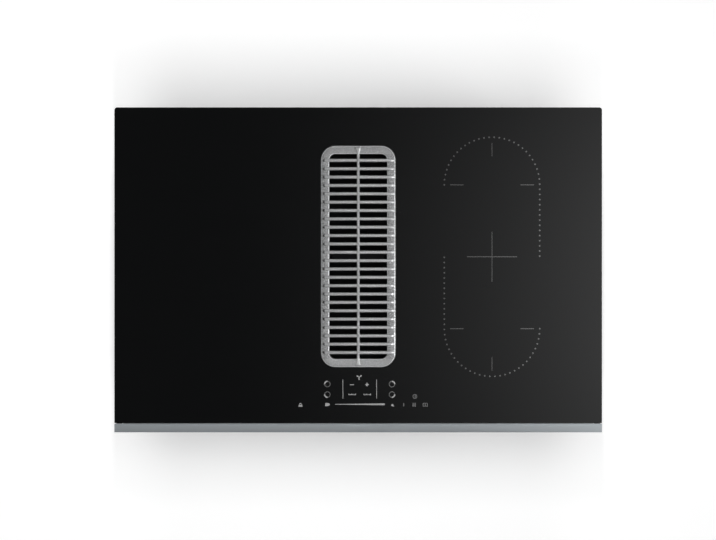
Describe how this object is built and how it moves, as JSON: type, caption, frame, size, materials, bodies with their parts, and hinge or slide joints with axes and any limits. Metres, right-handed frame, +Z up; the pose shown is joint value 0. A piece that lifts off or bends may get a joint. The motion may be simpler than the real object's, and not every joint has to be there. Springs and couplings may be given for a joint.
{
  "type": "downdraft induction cooktop",
  "caption": "Flush black glass induction hob with a cast grille in the middle that draws air down into a suction box and fan, with a steel front strip and a flat duct outlet at the rear.",
  "frame": {"origin": "middle of the worktop cut-out in the plane of the worktop, on the underside of the rim seal", "axes": "+X to the right seen from the front, +Y to the rear, +Z up out of the glass"},
  "size_m": [0.78, 0.52, 0.216],
  "materials": {
    "black_glass": "polished black ceramic glass with pale grey print",
    "strip_steel": "fine brushed steel, satin",
    "foam": "soft closed-cell foam",
    "cast_grille": "bead-blasted cast metal, satin",
    "silicone": "matte silicone",
    "black_plastic": "moulded black plastic with a fine grain",
    "black_coated_steel": "black non-stick coating on steel sheet",
    "filter_mesh": "dark coated expanded mesh",
    "zinc_sheet": "galvanised steel sheet",
    "mica": "pressed mica",
    "coil_copper": "stranded copper wire, varnished",
    "ferrite": "sintered ferrite",
    "sensor_ceramic": "unglazed white ceramic",
    "sheet_aluminium": "mill finish aluminium",
    "circuit_board": "green solder mask",
    "grey_plastic": "moulded grey plastic",
    "spring_steel": "bright steel",
    "motor_steel": "zinc plated pressed steel",
    "screw_steel": "zinc plated steel"
  },
  "bodies": {
    "hob": {"air_channel": "black_plastic", "blower_cases": "black_plastic", "bottom_tray": "zinc_sheet", "cable_gland": "black_plastic", "clamp_pivot_screws": "screw_steel", "coil_carrier_front_left": "grey_plastic", "coil_carrier_front_right": "grey_plastic", "coil_carrier_rear_left": "grey_plastic", "coil_carrier_rear_right": "grey_plastic", "coil_plates": "sheet_aluminium", "coil_winding_front_left": "coil_copper", "coil_winding_front_right": "coil_copper", "coil_winding_rear_left": "coil_copper", "coil_winding_rear_right": "coil_copper", "duct_connector": "black_plastic", "fan_driver_box": "grey_plastic", "fan_hangers": "screw_steel", "fan_housing": "black_plastic", "fan_lid": "black_plastic", "ferrite_bars": "ferrite", "flange_screws": "screw_steel", "front_strip": "strip_steel", "glass_plate": "black_glass", "heat_sinks": "sheet_aluminium", "mica_sheets": "mica", "motor_bearings": "spring_steel", "motor_bushes": "silicone", "motor_screws": "screw_steel", "motor_stator": "motor_steel", "panel_frame": "grey_plastic", "port_gasket": "foam", "power_boards": "circuit_board", "suction_box": "black_plastic", "suction_tub": "black_plastic", "temperature_sensors": "sensor_ceramic", "terminal_block": "sensor_ceramic", "terminal_box": "grey_plastic", "terminal_lid": "grey_plastic", "touch_board": "circuit_board", "touch_springs": "spring_steel", "vent_collar": "black_plastic", "worktop_seal": "foam"},
    "drip_tray": {"drip_tray": "black_plastic"},
    "grease_filter": {"grease_filter_basket": "black_coated_steel", "grease_filter_floor": "black_coated_steel", "grease_filter_mesh": "filter_mesh", "filter_handle": "black_coated_steel"},
    "grille": {"vent_grille": "cast_grille", "grille_pads": "silicone"},
    "fan_wheel": {"impeller": "grey_plastic", "motor_can": "motor_steel", "motor_shaft": "spring_steel"},
    "left_blower_wheel": {"blower_rotor_left": "black_plastic"},
    "right_blower_wheel": {"blower_rotor_right": "black_plastic"},
    "front_left_clamp": {"clamp_front_left": "zinc_sheet"},
    "front_right_clamp": {"clamp_front_right": "zinc_sheet"},
    "rear_left_clamp": {"clamp_rear_left": "zinc_sheet"},
    "rear_right_clamp": {"clamp_rear_right": "zinc_sheet"}
  },
  "joints": [
    {"name": "drip_tray_lift", "type": "slide", "parent": "hob", "child": "drip_tray", "axis": [0, 0, 1], "range_m": [0, 0.23]},
    {"name": "grease_filter_lift", "type": "slide", "parent": "drip_tray", "child": "grease_filter", "axis": [0, 0, 1], "range_m": [0, 0.09]},
    {"name": "grille_lift", "type": "slide", "parent": "grease_filter", "child": "grille", "axis": [0, 0, 1], "range_m": [0, 0.05]},
    {"name": "fan_spin", "type": "hinge", "parent": "hob", "child": "fan_wheel", "pos_m": [0.205, -0.02, -0.16], "axis": [0, 0, 1], "continuous": true},
    {"name": "left_blower_spin", "type": "hinge", "parent": "hob", "child": "left_blower_wheel", "pos_m": [-0.222, 0.105, -0.044], "axis": [0, 0, 1], "continuous": true},
    {"name": "right_blower_spin", "type": "hinge", "parent": "hob", "child": "right_blower_wheel", "pos_m": [0.214, 0.105, -0.044], "axis": [0, 0, 1], "continuous": true},
    {"name": "front_left_clamp_swing", "type": "hinge", "parent": "hob", "child": "front_left_clamp", "pos_m": [-0.342, -0.19, -0.0608], "axis": [0, 0, 1], "range_deg": [0, 90]},
    {"name": "front_right_clamp_swing", "type": "hinge", "parent": "hob", "child": "front_right_clamp", "pos_m": [0.342, -0.19, -0.0608], "axis": [0, 0, 1], "range_deg": [-90, 0]},
    {"name": "rear_left_clamp_swing", "type": "hinge", "parent": "hob", "child": "rear_left_clamp", "pos_m": [-0.342, 0.2, -0.0608], "axis": [0, 0, 1], "range_deg": [-90, 0]},
    {"name": "rear_right_clamp_swing", "type": "hinge", "parent": "hob", "child": "rear_right_clamp", "pos_m": [0.342, 0.2, -0.0608], "axis": [0, 0, 1], "range_deg": [0, 90]}
  ]
}
